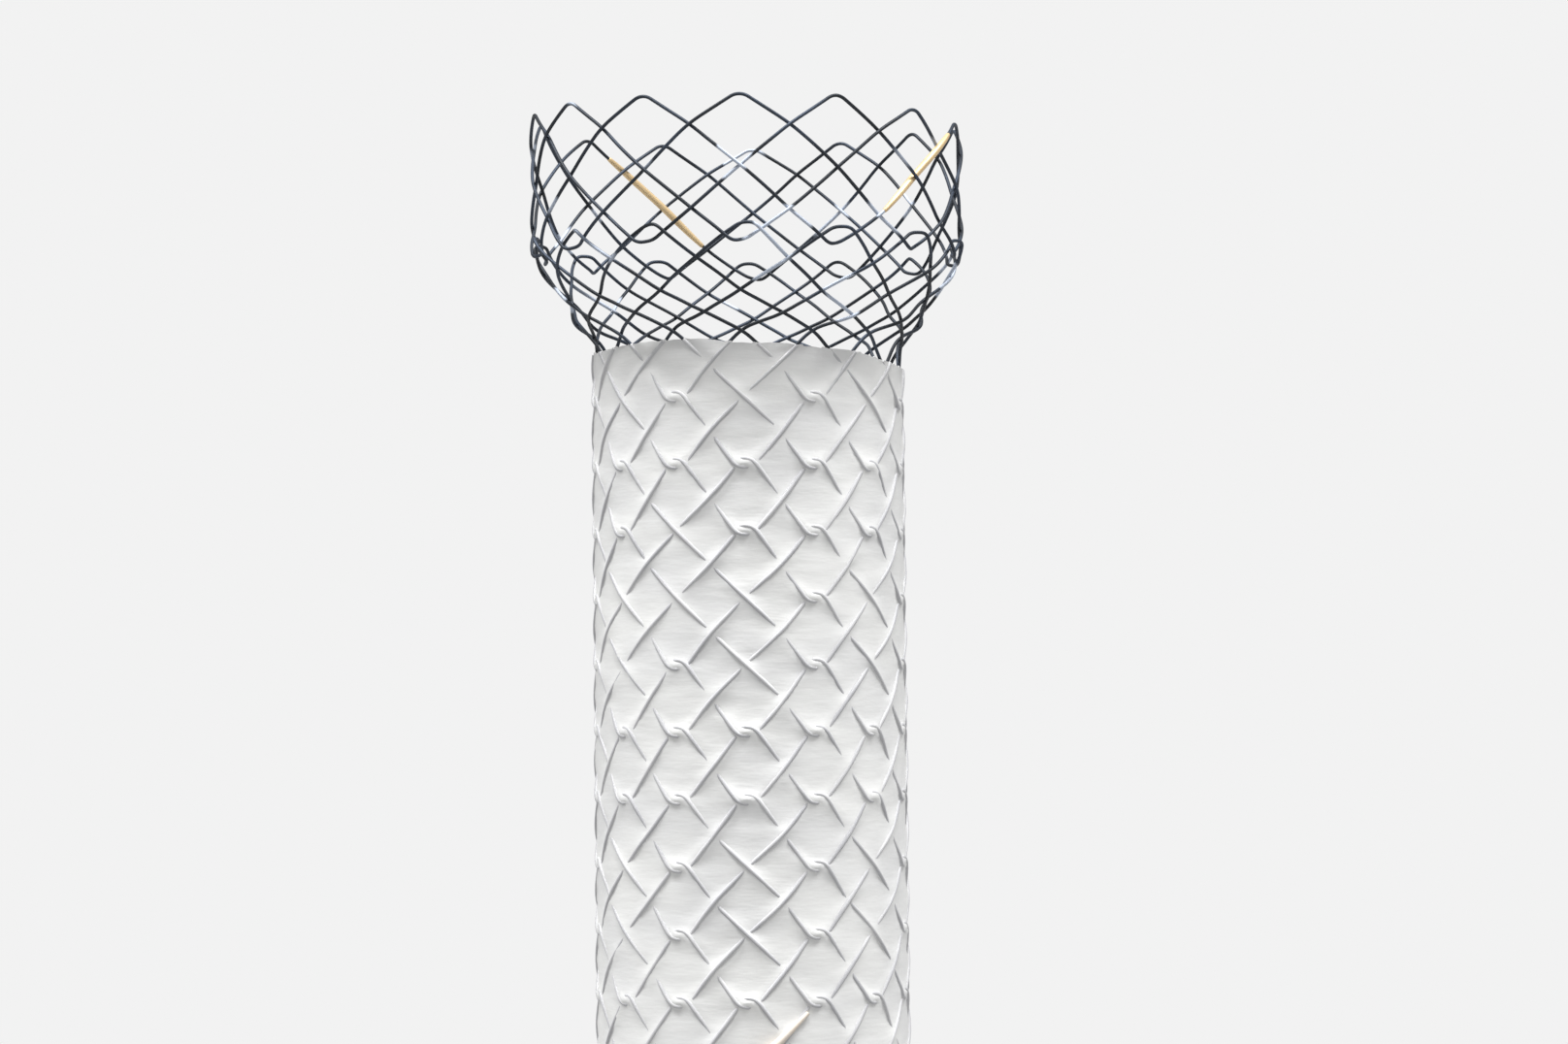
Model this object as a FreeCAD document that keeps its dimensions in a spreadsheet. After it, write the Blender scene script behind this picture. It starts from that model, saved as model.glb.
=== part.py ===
"""Colonic stent: a hooked and woven wire tube with a bare flare at each end and a film over its body.

The stent stands upright on the crowns of its lower flare. +Z runs along its axis and the origin is
the centre of the circle on which those crowns rest. Column 0 of the weave faces -Y. Lengths are in
millimetres. Each wire is drawn with flat sides, and so are the film and the markers.
"""

import math
import os

import FreeCAD
import Part
from FreeCAD import Placement, Rotation, Vector

WIRE_SIDES = 6
MARKER_SIDES = 8

# A crown wire goes down past four rows, hooks, and comes up again four columns further on.
COLUMNS_PER_CROWN = 4

# Rows of the weave are counted from the crowns, and the last open crossings of a neck are row 8.
FIRST_BODY_ROW = 8

SIZES = [
    ("overall_length", 120.0, "from the lower crowns to the upper crowns"),
    ("body_diameter", 20.0, "over the raised lines of the covered body"),
    ("cover_wall", 0.45, "film and two crossing wires, from the raised lines in to the clear bore"),
    ("flare_diameter", 27.8, "over the wires of each flare"),
    ("wire_diameter", 0.22, "drawn wire"),
    ("crossing_gap", 0.04, "air between two wires that cross"),
    ("hook_gap", 0.09, "air between two wires where they hook into each other"),
    ("columns", 14, "crowns round each end"),
    ("body_rows", 44, "steps of the weave between the last open crossings of the two flares"),
    ("tip_width", 0.6, "straight top of a crown"),
    ("first_row", 1.87, "from the end of the stent to the first row of crossings"),
    ("crown_pitch", 2.6, "from one row of crossings to the next in a flare"),
    ("hook_drop", 1.95, "from the third row of crossings to the bottom of a crown wire's hook"),
    ("hook_width", 0.87, "straight bottom of a hook"),
    ("hook_overlap", 1.05, "how far a neck wire's loop reaches up through that hook"),
    ("hook_rise", 2.05, "from the top of that loop down to the first crossings of the neck"),
    ("neck_step", 1.85, "from there to the next row of crossings"),
    ("neck_ratio", 0.725, "each later step of the neck over the one before it"),
    ("cover_lip", 0.54, "from the last open crossings to the edge of the film"),
    ("wire_grip", 0.55, "how deep the neck wires run on inside the film before they merge with it"),
    ("ridge_width", 0.45, "slope on each side of a raised line, measured along the stent"),
    ("marker_length", 9.0, "radiopaque sleeve on a wire"),
    ("marker_diameter", 0.5, "middle of a sleeve"),
    ("marker_end_diameter", 0.38, "each end of a sleeve"),
    ("marker_taper", 1.5, "tapered stretch at each end"),
    ("marker_gap", 0.35, "from the lower end of a flare's sleeve to the crossing below it"),
    ("marker_bore_gap", 0.03, "air between a sleeve and the wire through it, on the radius"),
    ("pocket_gap", 0.02, "air between a middle sleeve and the film round it"),
    ("pocket_skin", 0.06, "film over and under a middle sleeve"),
    ("first_flare_marker", 3, "column of the crown that carries the first sleeve of a flare"),
    ("second_flare_marker", 9, "column of the crown that carries the second sleeve"),
    ("middle_marker_row", 28.3, "row of the weave at the upper end of a middle sleeve"),
]

doc = FreeCAD.newDocument("colonic_stent")
sheet = doc.addObject("Spreadsheet::Sheet", "Sizes")
for line, (alias, value, meaning) in enumerate(SIZES, start=1):
    sheet.set(f"A{line}", alias)
    sheet.set(f"B{line}", str(value))
    sheet.set(f"C{line}", meaning)
    sheet.setAlias(f"B{line}", alias)
doc.recompute()


def size(alias):
    """A driving dimension from the sheet."""
    return float(sheet.get(alias))


overall_length = size("overall_length")
columns = round(size("columns"))
body_rows = round(size("body_rows"))
wire_radius = size("wire_diameter") / 2
marker_radius = size("marker_diameter") / 2
column_angle = 2 * math.pi / columns

# Two wires that cross lie this far outside and inside the middle of the mesh.
layer = wire_radius + size("crossing_gap") / 2
# A wire that crosses a sleeve stands off further by what the sleeve adds.
marked_layer = layer + marker_radius - wire_radius

# The raised lines of the film run through the nodes of the weave at the crest radius. Between four
# nodes the film is stretched flat, so its middle lies at the flat radius.
crest_radius = size("body_diameter") / 2
flat_radius = crest_radius * math.cos(column_angle / 2)
lumen_radius = crest_radius - size("cover_wall")

# Radius of the middle of the mesh, in the flares and in the body.
flare_mid = size("flare_diameter") / 2 - layer - wire_radius
body_mid = crest_radius - 2 * wire_radius

# Depths are measured from the end of the stent, along the axis, to the middle of the wire.
flat_of_wire = wire_radius * math.cos(math.pi / WIRE_SIDES)
tip_depth = flat_of_wire
crown_rows = [size("first_row") + step * size("crown_pitch") for step in range(3)]
hook_low = crown_rows[2] + size("hook_drop")
hook_high = hook_low - size("hook_overlap")
neck_rows = [hook_high + size("hook_rise")]
for step in range(3):
    neck_rows.append(neck_rows[-1] + size("neck_step") * size("neck_ratio") ** step)
cover_depth = neck_rows[3] + size("cover_lip")
foot_depth = cover_depth + size("wire_grip")
row_pitch = (overall_length - 2 * neck_rows[3]) / body_rows

# Half the flat top of a crown and half the bottom of a hook, in columns.
tip_half = size("tip_width") / 2 / (flare_mid * column_angle)
hook_half = size("hook_width") / 2 / (flare_mid * column_angle)


def hook_lift(from_row, to_end):
    """Lift at the end of a hook's arm, so that it clears the other wire's arm where the two meet.

    from_row and to_end are the depths of the arm's last crossing and of its end. At that crossing
    the arm lies one layer off the middle of the mesh, on the side opposite to the lift.
    """
    crown_slope = size("hook_drop") / (0.5 - hook_half)
    neck_slope = size("hook_rise") / (0.5 - hook_half)
    meeting = (neck_rows[0] - crown_rows[2]) / (crown_slope + neck_slope)
    share = meeting * (crown_slope if to_end > from_row else neck_slope) / abs(to_end - from_row)
    return (wire_radius + size("hook_gap") / 2 + layer) / share - layer


def mesh_radius(depth):
    """Radius of the middle of the mesh: the flare, a smooth shoulder, and the body."""
    share = (depth - hook_high) / (foot_depth - hook_high)
    share = min(max(share, 0.0), 1.0)
    return body_mid + (flare_mid - body_mid) * (1 + math.cos(math.pi * share)) / 2


def direction(column):
    """Unit vector from the axis towards a column of the weave."""
    angle = column * column_angle - math.pi / 2
    return Vector(math.cos(angle), math.sin(angle), 0)


def mesh_point(column, depth, lift):
    """A point of a wire in the upper end, with the normal of the mesh there.

    lift is how far the point lies outside the middle of the mesh.
    """
    small = 0.01
    slope = (mesh_radius(depth + small) - mesh_radius(depth - small)) / (2 * small)
    normal = direction(column) + Vector(0, 0, slope)
    normal.normalize()
    middle = direction(column) * mesh_radius(depth)
    middle.z = overall_length - depth
    return middle + normal * lift, normal


def body_point(column, row, radius):
    """A point of the covered body, by the rows of the weave counted from the upper end."""
    point = direction(column) * radius
    point.z = overall_length - neck_rows[3] - (row - FIRST_BODY_ROW) * row_pitch
    return point


def rings(points, normals, radii, sides, closed):
    """Rings of corners round a bent line, one at each point, mitred where the line turns."""
    count = len(points)
    result = []
    for index, (point, normal, radius) in enumerate(zip(points, normals, radii)):
        before = points[index - 1] if closed or index > 0 else None
        after = points[(index + 1) % count] if closed or index + 1 < count else None
        arriving = (point - before).normalize() if before is not None else None
        leaving = (after - point).normalize() if after is not None else None
        arriving = arriving or leaving
        leaving = leaving or arriving
        along = (arriving + leaving).normalize()
        outward = (normal - along * normal.dot(along)).normalize()
        across = along.cross(outward)
        bend = leaving - arriving
        stretch = 1 / math.cos(arriving.getAngle(leaving) / 2) - 1
        if bend.Length > 1e-9:
            bend.normalize()
        ring = []
        for side in range(sides):
            angle = 2 * math.pi * side / sides
            offset = outward * (radius * math.cos(angle)) + across * (radius * math.sin(angle))
            offset += bend * (offset.dot(bend) * stretch)
            ring.append(point + offset)
        result.append(ring)
    return result


def faceted_solid(corners, triangles):
    """A solid with flat faces from its corners and from its outward triangles."""
    shell = Part.Shape()
    shell.makeShapeFromMesh((corners, triangles), 1e-5)
    solid = Part.makeSolid(shell)
    if solid.Volume < 0:
        solid.reverse()
    return solid


def band(first, second, sides):
    """Triangles of the sides between two rings, given where each ring's corners start."""
    triangles = []
    for side in range(sides):
        following = (side + 1) % sides
        triangles.append((first + side, first + following, second + following))
        triangles.append((first + side, second + following, second + side))
    return triangles


def rod(points, normals, radii, sides, closed=False):
    """A solid bent rod with flat sides. A closed one ends where it starts."""
    loops = rings(points, normals, radii, sides, closed)
    corners = [corner for ring in loops for corner in ring]
    count = len(loops)
    triangles = []
    for index in range(count if closed else count - 1):
        triangles += band(index * sides, (index + 1) % count * sides, sides)
    if not closed:
        last = (count - 1) * sides
        for side in range(1, sides - 1):
            triangles.append((0, side + 1, side))
            triangles.append((last, last + side, last + side + 1))
    return faceted_solid(corners, triangles)


def sleeve(points, normals, radii, bore_radius):
    """A marker: a bent tube with flat sides and a bore for the wire."""
    sides = MARKER_SIDES
    outer = rings(points, normals, radii, sides, False)
    inner = rings(points, normals, [bore_radius] * len(points), sides, False)
    corners = [corner for ring in outer + inner for corner in ring]
    count = len(points)
    inside = count * sides
    triangles = []
    for index in range(count - 1):
        triangles += band(index * sides, (index + 1) * sides, sides)
        triangles += band(inside + (index + 1) * sides, inside + index * sides, sides)
    triangles += band(inside, 0, sides)
    triangles += band((count - 1) * sides, inside + (count - 1) * sides, sides)
    return faceted_solid(corners, triangles)


def marked_crossings():
    """The crossings that a flare's sleeves pass: pairs of twice the column, and row."""
    marked = set()
    for name in ("first_flare_marker", "second_flare_marker"):
        crown = round(size(name))
        marked.add(((2 * crown - 1) % (2 * columns), 0))
        marked.add(((2 * crown - 2) % (2 * columns), 1))
    return marked


MARKED = marked_crossings()


def crown_wire(first_crown):
    """Points and normals of one closed crown wire, which starts at a crown's right shoulder.

    A leg that falls to the right lies under the other leg at odd rows and over it at even rows.
    """
    low = hook_lift(crown_rows[2], hook_low)
    path = []
    crown = first_crown
    while True:
        path.append((crown + tip_half, tip_depth, 0.0))
        for row, depth in enumerate(crown_rows):
            column = crown + (row + 1) / 2
            marked = (round(2 * column) % (2 * columns), row) in MARKED
            lift = (marked_layer if marked else layer) * (1 if row % 2 else -1)
            path.append((column, depth, lift))
        valley = crown + COLUMNS_PER_CROWN / 2
        path.append((valley - hook_half, hook_low, low))
        path.append((valley + hook_half, hook_low, -low))
        crown += COLUMNS_PER_CROWN
        for row in (2, 1, 0):
            path.append((crown - (row + 1) / 2, crown_rows[row], -layer if row % 2 else layer))
        path.append((crown - tip_half, tip_depth, 0.0))
        if (crown - first_crown) % columns == 0:
            break
    return [mesh_point(*place) for place in path]


def neck_wire(crown):
    """Points and normals of one neck wire: a loop hooked on a crown wire, with both its legs."""
    high = hook_lift(neck_rows[0], hook_high)
    leg = [(0.5 * (row + 1), depth, 1 if row % 2 else -1) for row, depth in enumerate(neck_rows)]
    foot = leg[-1][0] + 0.5 * (foot_depth - neck_rows[3]) / row_pitch
    path = [(crown - foot, foot_depth, 0.0)]
    path += [(crown - column, depth, -side * layer) for column, depth, side in reversed(leg)]
    path += [(crown - hook_half, hook_high, -high), (crown + hook_half, hook_high, high)]
    path += [(crown + column, depth, side * layer) for column, depth, side in leg]
    path.append((crown + foot, foot_depth, 0.0))
    return [mesh_point(*place) for place in path]


def stretch_of(path, start, end, extra):
    """The points and normals of a path between two distances along it.

    extra lists further distances at which the stretch gets a point. The path's first and last runs
    are carried on straight where the stretch is longer than the path.
    """
    points = [point for point, _ in path]
    lengths = [0.0]
    for before, after in zip(points, points[1:]):
        lengths.append(lengths[-1] + before.distanceToPoint(after))
    inner = [length for length in lengths[1:-1] if start + 0.2 < length < end - 0.2]
    wanted = sorted(inner + [start, end] + [stop for stop in extra if start < stop < end])
    found = []
    for stop in wanted:
        run = sum(1 for length in lengths[1:-1] if length <= stop)
        share = (stop - lengths[run]) / (lengths[run + 1] - lengths[run])
        (first, first_normal), (second, second_normal) = path[run], path[run + 1]
        normal = first_normal + (second_normal - first_normal) * share
        found.append((first + (second - first) * share, normal.normalize(), stop))
    return found


def marker_radii(stops, start, end, extra=0.0):
    """Radius of a sleeve at each stop along it, full in the middle and tapered at both ends."""
    thin = size("marker_end_diameter") / 2
    radii = []
    for stop in stops:
        share = min(stop - start, end - stop) / size("marker_taper")
        radii.append(thin + (marker_radius - thin) * min(share, 1.0) + extra)
    return radii


def marker_stretch(path, start):
    """Points, normals and distances of a sleeve that starts at a distance along a path."""
    end = start + size("marker_length")
    tapers = [start + size("marker_taper"), end - size("marker_taper")]
    return stretch_of(path, start, end, tapers), start, end


def marker_solid(path, start):
    """A marker on a wire's path."""
    found, start, end = marker_stretch(path, start)
    points, normals, stops = zip(*found)
    bore_radius = (wire_radius + size("marker_bore_gap")) / math.cos(math.pi / MARKER_SIDES)
    return sleeve(points, normals, marker_radii(stops, start, end), bore_radius)


def flare_marker(crown):
    """A sleeve on the leg that falls to the left from a crown of the upper flare."""
    places = [(crown - tip_half, tip_depth, 0.0)]
    for row, depth in enumerate(crown_rows):
        places.append((crown - (row + 1) / 2, depth, -layer if row % 2 else layer))
    path = [mesh_point(*place) for place in places]
    points = [point for point, _ in path]
    leg = sum(before.distanceToPoint(after) for before, after in zip(points, points[1:]))
    return marker_solid(path, leg - size("marker_gap") - size("marker_length"))


def middle_path(column, radius):
    """The line of a middle sleeve, down to the left through five rows of the body."""
    path = []
    for step in range(6):
        place = column - step / 2
        path.append((body_point(place, middle_row + step, radius), direction(place)))
    return path


# A middle sleeve lies in a pocket of the film, outside the clear bore. The straight runs of its line
# sink between two nodes of the weave, so the line lies that much further out.
middle_row = math.floor(size("middle_marker_row"))
pocket_radius = marker_radius + size("pocket_gap")
sink = crest_radius * (1 - math.cos(column_angle / 4))
middle_radius = lumen_radius + size("pocket_skin") + pocket_radius + sink
middle_columns = [1, 1 + columns // 2]


def middle_start(path):
    """Distance along a middle path at which its sleeve starts."""
    run = path[0][0].distanceToPoint(path[1][0])
    return run * (size("middle_marker_row") - middle_row)


def film_corner(grid, corners, column_half, row, radius, shift=0.0):
    """Number of a corner of the film, which is made at its first use.

    column_half is twice the column. shift moves the corner down the stent.
    """
    place = (column_half % (2 * columns), row, round(radius, 6), round(shift, 6))
    if place not in grid:
        grid[place] = len(corners)
        corner = body_point(column_half / 2, row, radius)
        corner.z -= shift
        corners.append(corner)
    return grid[place]


def quilted_film():
    """The film over the body, solid inside: flat diamonds between raised lines.

    A diamond has a node of the weave at its left and its right, where the flat meets the raised
    lines. Above and below, the flat ends short of the node and slopes rise to the lines.
    """
    grid = {}
    corners = []
    triangles = []
    ridge = size("ridge_width")
    last_row = FIRST_BODY_ROW + body_rows
    for row in range(FIRST_BODY_ROW, last_row + 1):
        for column_half in range(1 - row % 2, 2 * columns, 2):
            left = film_corner(grid, corners, column_half - 1, row, crest_radius)
            right = film_corner(grid, corners, column_half + 1, row, crest_radius)
            ends = []
            for side in (-1, 1):
                if FIRST_BODY_ROW <= row + side <= last_row:
                    node = film_corner(grid, corners, column_half, row + side, crest_radius)
                    flat = film_corner(grid, corners, column_half, row + side, flat_radius,
                                       -side * ridge)
                    ends.append((node, flat))
                else:
                    ends.append(None)
            if ends[0]:
                node, flat = ends[0]
                triangles += [(node, left, flat), (node, flat, right)]
            if ends[1]:
                node, flat = ends[1]
                triangles += [(node, flat, left), (node, right, flat)]
            if ends[0] and ends[1]:
                top, bottom = ends[0][1], ends[1][1]
                triangles += [(top, left, bottom), (top, bottom, right)]
            else:
                flat = (ends[0] or ends[1])[1]
                triangles.append((flat, left, right) if ends[0] else (flat, right, left))
    for row, upper in ((FIRST_BODY_ROW, True), (last_row, False)):
        rim = [film_corner(grid, corners, 2 * column + row % 2, row, crest_radius)
               for column in range(columns)]
        for first, second in zip(rim[1:], rim[2:]):
            triangles.append((rim[0], first, second) if upper else (rim[0], second, first))
    return faceted_solid(corners, triangles)


def computed(name, shape, placement=None):
    """An object whose shape is worked out here from the sheet's sizes."""
    item = doc.addObject("Part::Feature", name)
    item.Label = name
    item.Shape = shape
    if placement:
        item.Placement = placement
    return item


def boolean(kind, name, base, tool):
    """A cut or common part of two objects, with the facets left as they are."""
    item = doc.addObject(kind, name)
    item.Label = name
    item.Base = base
    item.Tool = tool
    item.Refine = False
    return item


# The lower end is the upper end turned over about a line through column 0 at mid-length.
turned = Placement(Vector(0, 0, overall_length), Rotation(Vector(0, 1, 0), 180))

# Covered body: the film with the wires that are bonded in it and come out at both ends
quilt = computed("quilt", quilted_film())
cover_outside = doc.addObject("Part::Cylinder", "cover_outside")
cover_outside.setExpression("Radius", "Sizes.body_diameter")
lumen = doc.addObject("Part::Cylinder", "lumen")
lumen.setExpression("Radius", "Sizes.body_diameter / 2 - Sizes.cover_wall")
for cylinder in (cover_outside, lumen):
    cylinder.Height = overall_length - 2 * cover_depth
    cylinder.Placement = Placement(Vector(0, 0, cover_depth), Rotation())
cover_tube = boolean("Part::Cut", "cover_tube", cover_outside, lumen)
film = boolean("Part::Common", "film", quilt, cover_tube)

neck_solids = []
for crown in range(columns):
    points, normals = zip(*neck_wire(crown))
    neck_solids.append(rod(points, normals, [wire_radius] * len(points), WIRE_SIDES))
upper_neck = computed("upper_neck", Part.makeCompound(neck_solids))
lower_neck = computed("lower_neck", Part.makeCompound(neck_solids), turned)

swells = []
hollows = []
cores = []
middle_markers = []
for column in middle_columns:
    path = middle_path(column, middle_radius)
    found, start, end = marker_stretch(path, middle_start(path))
    points, normals, stops = zip(*found)
    gap = size("pocket_gap")
    skin = gap + size("pocket_skin")
    swells.append(rod(points, normals, marker_radii(stops, start, end, skin), MARKER_SIDES))
    hollows.append(rod(points, normals, marker_radii(stops, start, end, gap), MARKER_SIDES))
    found = stretch_of(path, start - skin, end + skin, [])
    points, normals, stops = zip(*found)
    cores.append(rod(points, normals, [wire_radius] * len(points), WIRE_SIDES))
    middle_markers.append(marker_solid(path, start))

# The film swells over each middle sleeve, which lies in a pocket with the wire running through it.
swelling = computed("swelling", Part.makeCompound(swells))
hollow = computed("hollow", Part.makeCompound(hollows))
wire_core = computed("wire_core", Part.makeCompound(cores))
pocket = boolean("Part::Cut", "pocket", hollow, wire_core)

# The film, the wires bonded in it and the swellings are one piece, out of which the pockets go.
doc.recompute()
film_and_wires = film.Shape.fuse([upper_neck.Shape, lower_neck.Shape, swelling.Shape])
covered_body = computed("covered_body", film_and_wires.cut(pocket.Shape))

nodes = [covered_body]

# Crown wires: closed wires that go round a flare, each hooked through every neck loop it meets
for number in range(math.gcd(COLUMNS_PER_CROWN, columns)):
    points, normals = zip(*crown_wire(number))
    shape = rod(points, normals, [wire_radius] * len(points), WIRE_SIDES, closed=True)
    nodes.append(computed(f"upper_crown_wire_{number + 1}", shape))
    nodes.append(computed(f"lower_crown_wire_{number + 1}", shape, turned))

# Markers: a pair in each flare and a pair at mid-length
for number, name in enumerate(("first_flare_marker", "second_flare_marker"), start=1):
    shape = flare_marker(round(size(name)))
    nodes.append(computed(f"upper_marker_{number}", shape))
    nodes.append(computed(f"lower_marker_{number}", shape, turned))
for number, shape in enumerate(middle_markers, start=1):
    nodes.append(computed(f"middle_marker_{number}", shape))

doc.recompute()

for item in doc.Objects:
    if "Invalid" in item.State or "Error" in item.State:
        raise RuntimeError(f"{item.Name} failed: {item.State}")
for node in nodes:
    if node.Shape.isNull() or not node.Shape.isValid():
        raise RuntimeError(f"{node.Label} has no valid shape")

os.makedirs("parts", exist_ok=True)
for node in nodes:
    node.Shape.exportStep(f"parts/{node.Label}.step")
    box = node.Shape.BoundBox
    print(f"{node.Label}: {len(node.Shape.Solids)} solid, {len(node.Shape.Faces)} faces, "
          f"{node.Shape.Volume:.2f} mm3, z {box.ZMin:.3f} to {box.ZMax:.3f}, "
          f"x {box.XMin:.3f} to {box.XMax:.3f}")
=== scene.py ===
import logging
import math
from dataclasses import dataclass
from enum import Enum
from typing import Iterable, Optional

import bpy
import numpy as np
from bpy.types import ID, Material, NodeSocket, Object
from mathutils import Matrix, Vector, noise


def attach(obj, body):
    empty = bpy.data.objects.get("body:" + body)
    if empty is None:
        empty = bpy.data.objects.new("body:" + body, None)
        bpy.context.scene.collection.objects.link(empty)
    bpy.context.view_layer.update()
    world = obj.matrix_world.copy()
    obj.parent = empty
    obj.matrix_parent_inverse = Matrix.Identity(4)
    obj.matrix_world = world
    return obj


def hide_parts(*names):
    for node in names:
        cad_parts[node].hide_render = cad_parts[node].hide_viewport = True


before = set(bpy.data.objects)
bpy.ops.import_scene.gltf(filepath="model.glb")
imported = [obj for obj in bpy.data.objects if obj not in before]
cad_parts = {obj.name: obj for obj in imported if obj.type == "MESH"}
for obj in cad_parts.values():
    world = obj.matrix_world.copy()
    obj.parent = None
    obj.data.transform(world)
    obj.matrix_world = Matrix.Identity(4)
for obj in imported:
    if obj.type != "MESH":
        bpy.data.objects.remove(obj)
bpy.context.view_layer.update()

# Sizes of the stent are millimetres, as on its drawing, and the scene is in metres.
MM = 0.001

# How finely a rounded corner and a sleeve are drawn, and how sharp an edge stays unsmoothed.
CORNER_POINTS = 7
SLEEVE_POINTS = 37
SLEEVE_SIDES = 20
SHARP_WIRE = math.radians(60)
SHARP_FILM = math.radians(50)

log = logging.getLogger("colonic_stent")


class Slope(Enum):
    """Which way a line of the weave runs, seen from outside: down to the right or down to the left."""

    FALLING_RIGHT = 1
    FALLING_LEFT = -1


@dataclass
class Line:
    """The middle line of a rod, in the row frame.

    Args:
        points: Corners of the line in metres, one row each.
        radii: Radius of the rod at each point, in metres.
        closed: True where the line ends where it starts.
    """

    points: np.ndarray
    radii: np.ndarray
    closed: bool = False


def select_only(piece: Object) -> None:
    """Leaves this piece alone selected and active."""
    bpy.ops.object.select_all(action="DESELECT")
    piece.select_set(True)
    bpy.context.view_layer.objects.active = piece


def rounded(corners: np.ndarray, reach: np.ndarray, step: float,
            wrap: Optional[np.ndarray] = None) -> np.ndarray:
    """Points along a bent line whose corners are rounded off.

    Args:
        corners: The line's corners, one row each.
        reach: How far from each corner its rounding starts, at most.
        step: Longest distance between two points of a straight run.
        wrap: For a line that ends where it starts, how far its start comes again after its end.

    Returns:
        The points, one row each.
    """
    count = len(corners)
    closed = wrap is not None
    legs = np.roll(corners, -1, axis=0) - corners
    if closed:
        legs[-1] += wrap
    lengths = np.linalg.norm(legs, axis=1)
    last = count if closed else count - 1
    cuts = np.zeros(count)
    for index in range(count):
        if closed or 0 < index < count - 1:
            cuts[index] = min(reach[index], lengths[index - 1] * 0.5, lengths[index] * 0.5)
    points = []
    for index in range(count):
        corner = corners[index]
        if cuts[index] > 0:
            first = corner - legs[index - 1] / lengths[index - 1] * cuts[index]
            second = corner + legs[index] / lengths[index] * cuts[index]
            for share in np.linspace(0, 1, CORNER_POINTS):
                points.append((1 - share) ** 2 * first + 2 * share * (1 - share) * corner
                              + share ** 2 * second)
        else:
            points.append(corner)
        if index < last:
            following = (index + 1) % count
            run_start = corner + legs[index] / lengths[index] * cuts[index]
            run_end = corner + legs[index] * (1 - cuts[following] / lengths[index])
            pieces = int(np.linalg.norm(run_end - run_start) / step)
            for number in range(1, pieces + 1):
                points.append(run_start + (run_end - run_start) * number / (pieces + 1))
    found = np.array(points)
    apart = np.linalg.norm(np.diff(found, axis=0), axis=1) > 1e-6
    return found[np.concatenate([[True], apart])]


def rods(name: str, lines: Iterable[Line], sides: int) -> Object:
    """One mesh of round rods along the given lines, with closed ends.

    Args:
        name: Name of the piece.
        lines: Middle lines of the rods.
        sides: How many flat strips go round a rod, an even number from 4.

    Returns:
        The mesh object, at the origin, with its place in its mesh.
    """
    curve = bpy.data.curves.new(name, "CURVE")
    curve.dimensions = "3D"
    curve.bevel_depth = 1.0
    curve.bevel_resolution = (sides - 4) // 2
    curve.use_fill_caps = True
    curve.twist_mode = "MINIMUM"
    for line in lines:
        spline = curve.splines.new("POLY")
        spline.points.add(len(line.points) - 1)
        places = np.ones((len(line.points), 4))
        places[:, :3] = line.points
        spline.points.foreach_set("co", places.ravel())
        spline.points.foreach_set("radius", np.asarray(line.radii, float))
        spline.use_cyclic_u = line.closed
    piece = bpy.data.objects.new(name, curve)
    bpy.context.scene.collection.objects.link(piece)
    select_only(piece)
    bpy.ops.object.convert(target="MESH")
    piece = bpy.context.view_layer.objects.active
    bpy.ops.object.shade_smooth_by_angle(angle=SHARP_WIRE)
    return piece


# The weave


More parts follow.
